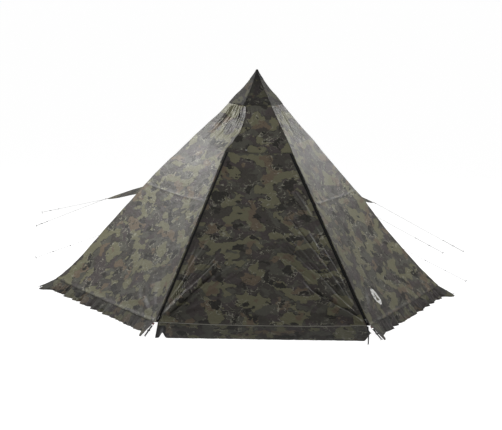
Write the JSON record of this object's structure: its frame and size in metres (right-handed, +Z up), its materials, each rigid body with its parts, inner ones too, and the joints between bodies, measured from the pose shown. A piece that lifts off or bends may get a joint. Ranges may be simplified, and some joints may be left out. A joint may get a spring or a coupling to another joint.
{
  "type": "teepee tent",
  "caption": "Six-sided pole tent with a camouflage canopy, a zipped front door, a vented peak cap, a mud skirt, side vent hoods and guy lines to pegs.",
  "frame": {"origin": "on the ground under the middle of the centre pole, at the underside of its foot", "axes": "+Z up; -Y is the front, with the door; +X to the right seen from the front"},
  "size_m": [6.0742, 7.4196, 2.8416],
  "materials": {
    "camo_cloth": "camouflage print on coated polyester, soft sheen",
    "skirt_cloth": "dark green-grey coated polyester",
    "black_cloth": "black woven polyester",
    "net": "black insect netting",
    "zip_tape": "black zip tape with a nylon coil",
    "zip_metal": "dark plated metal",
    "seam_tape": "grey seam tape",
    "black_webbing": "black woven webbing",
    "red_webbing": "red woven webbing",
    "bright_wire": "bright plated wire",
    "black_plastic": "satin black plastic",
    "cord": "light grey braided cord",
    "peg_steel": "galvanised wire",
    "pole_steel": "grey powder-coated steel tube",
    "button_steel": "bright plated steel",
    "foot_rubber": "matt black rubber",
    "print_white": "white screen print"
  },
  "bodies": {
    "tent": {"left_storm_flap": "camo_cloth", "right_storm_flap": "camo_cloth", "left_front_lower_panel": "camo_cloth", "left_front_upper_panel": "camo_cloth", "left_rear_lower_panel": "camo_cloth", "left_rear_upper_panel": "camo_cloth", "rear_lower_panel": "camo_cloth", "rear_upper_panel": "camo_cloth", "right_rear_lower_panel": "camo_cloth", "right_rear_upper_panel": "camo_cloth", "right_front_lower_panel": "camo_cloth", "right_front_upper_panel": "camo_cloth", "front_upper_panel": "camo_cloth", "peak_cap": "camo_cloth", "left_vent_hood": "camo_cloth", "right_vent_hood": "camo_cloth", "skirts": "skirt_cloth", "peak_tip": "black_cloth", "peak_pocket": "black_cloth", "peak_pad": "black_cloth", "vent_mesh": "net", "window_meshes": "net", "left_zip": "zip_tape", "right_zip": "zip_tape", "ridge_tapes": "seam_tape", "corner_straps": "black_webbing", "door_tie_tab": "black_webbing", "corner_loops": "red_webbing", "guy_tabs": "red_webbing", "wire_rings": "bright_wire", "door_tie_ring": "bright_wire", "strap_buckles": "black_plastic", "pole_plug": "black_plastic", "left_back_line": "cord", "left_hood_line": "cord", "left_side_line": "cord", "right_back_line": "cord", "right_hood_line": "cord", "right_side_line": "cord", "pegs": "peg_steel", "pole_section_1": "pole_steel", "pole_section_2": "pole_steel", "pole_section_3": "pole_steel", "pole_section_4": "pole_steel", "pole_foot": "foot_rubber", "emblem": "print_white"},
    "door": {"door_panel": "camo_cloth", "door_skirt": "skirt_cloth"},
    "left_slider": {"left_zip_slider": "zip_metal"},
    "right_slider": {"right_zip_slider": "zip_metal"},
    "button_1": {"pole_button_1": "button_steel"},
    "button_2": {"pole_button_2": "button_steel"},
    "button_3": {"pole_button_3": "button_steel"},
    "left_back_tensioner": {"left_back_runner": "black_plastic"},
    "left_hood_tensioner": {"left_hood_runner": "black_plastic"},
    "left_side_tensioner": {"left_side_runner": "black_plastic"},
    "right_back_tensioner": {"right_back_runner": "black_plastic"},
    "right_hood_tensioner": {"right_hood_runner": "black_plastic"},
    "right_side_tensioner": {"right_side_runner": "black_plastic"}
  },
  "joints": [
    {"name": "door_hinge", "type": "hinge", "parent": "tent", "child": "door", "pos_m": [0, -0.68495, 1.78], "axis": [-1, 0, 0], "range_deg": [0, 100]},
    {"name": "left_zip_slide", "type": "slide", "parent": "tent", "child": "left_slider", "axis": [0.3363, 0.5826, 0.7399], "range_m": [0, 2.1]},
    {"name": "right_zip_slide", "type": "slide", "parent": "tent", "child": "right_slider", "axis": [-0.3363, 0.5826, 0.7399], "range_m": [0, 2.1]},
    {"name": "pole_button_1_press", "type": "slide", "parent": "tent", "child": "button_1", "axis": [0, 1, 0], "range_m": [0, 0.0026], "stiffness_N_per_m": 600, "springref_m": -0.002},
    {"name": "pole_button_2_press", "type": "slide", "parent": "tent", "child": "button_2", "axis": [0, 1, 0], "range_m": [0, 0.0026], "stiffness_N_per_m": 600, "springref_m": -0.002},
    {"name": "pole_button_3_press", "type": "slide", "parent": "tent", "child": "button_3", "axis": [0, 1, 0], "range_m": [0, 0.0026], "stiffness_N_per_m": 600, "springref_m": -0.002},
    {"name": "left_back_runner_slide", "type": "slide", "parent": "tent", "child": "left_back_tensioner", "axis": [0.4718, -0.8465, 0.2467], "range_m": [-0.1, 0.25]},
    {"name": "left_hood_runner_slide", "type": "slide", "parent": "tent", "child": "left_hood_tensioner", "axis": [0.3183, -0.9072, 0.2752], "range_m": [-0.1, 0.25]},
    {"name": "left_side_runner_slide", "type": "slide", "parent": "tent", "child": "left_side_tensioner", "axis": [0.7642, -0.5156, 0.3874], "range_m": [-0.1, 0.25]},
    {"name": "right_back_runner_slide", "type": "slide", "parent": "tent", "child": "right_back_tensioner", "axis": [-0.7594, -0.4865, 0.4319], "range_m": [-0.1, 0.25]},
    {"name": "right_hood_runner_slide", "type": "slide", "parent": "tent", "child": "right_hood_tensioner", "axis": [-0.6459, -0.6607, 0.3825], "range_m": [-0.1, 0.25]},
    {"name": "right_side_runner_slide", "type": "slide", "parent": "tent", "child": "right_side_tensioner", "axis": [-0.9007, 0.0118, 0.4342], "range_m": [-0.1, 0.25]}
  ]
}
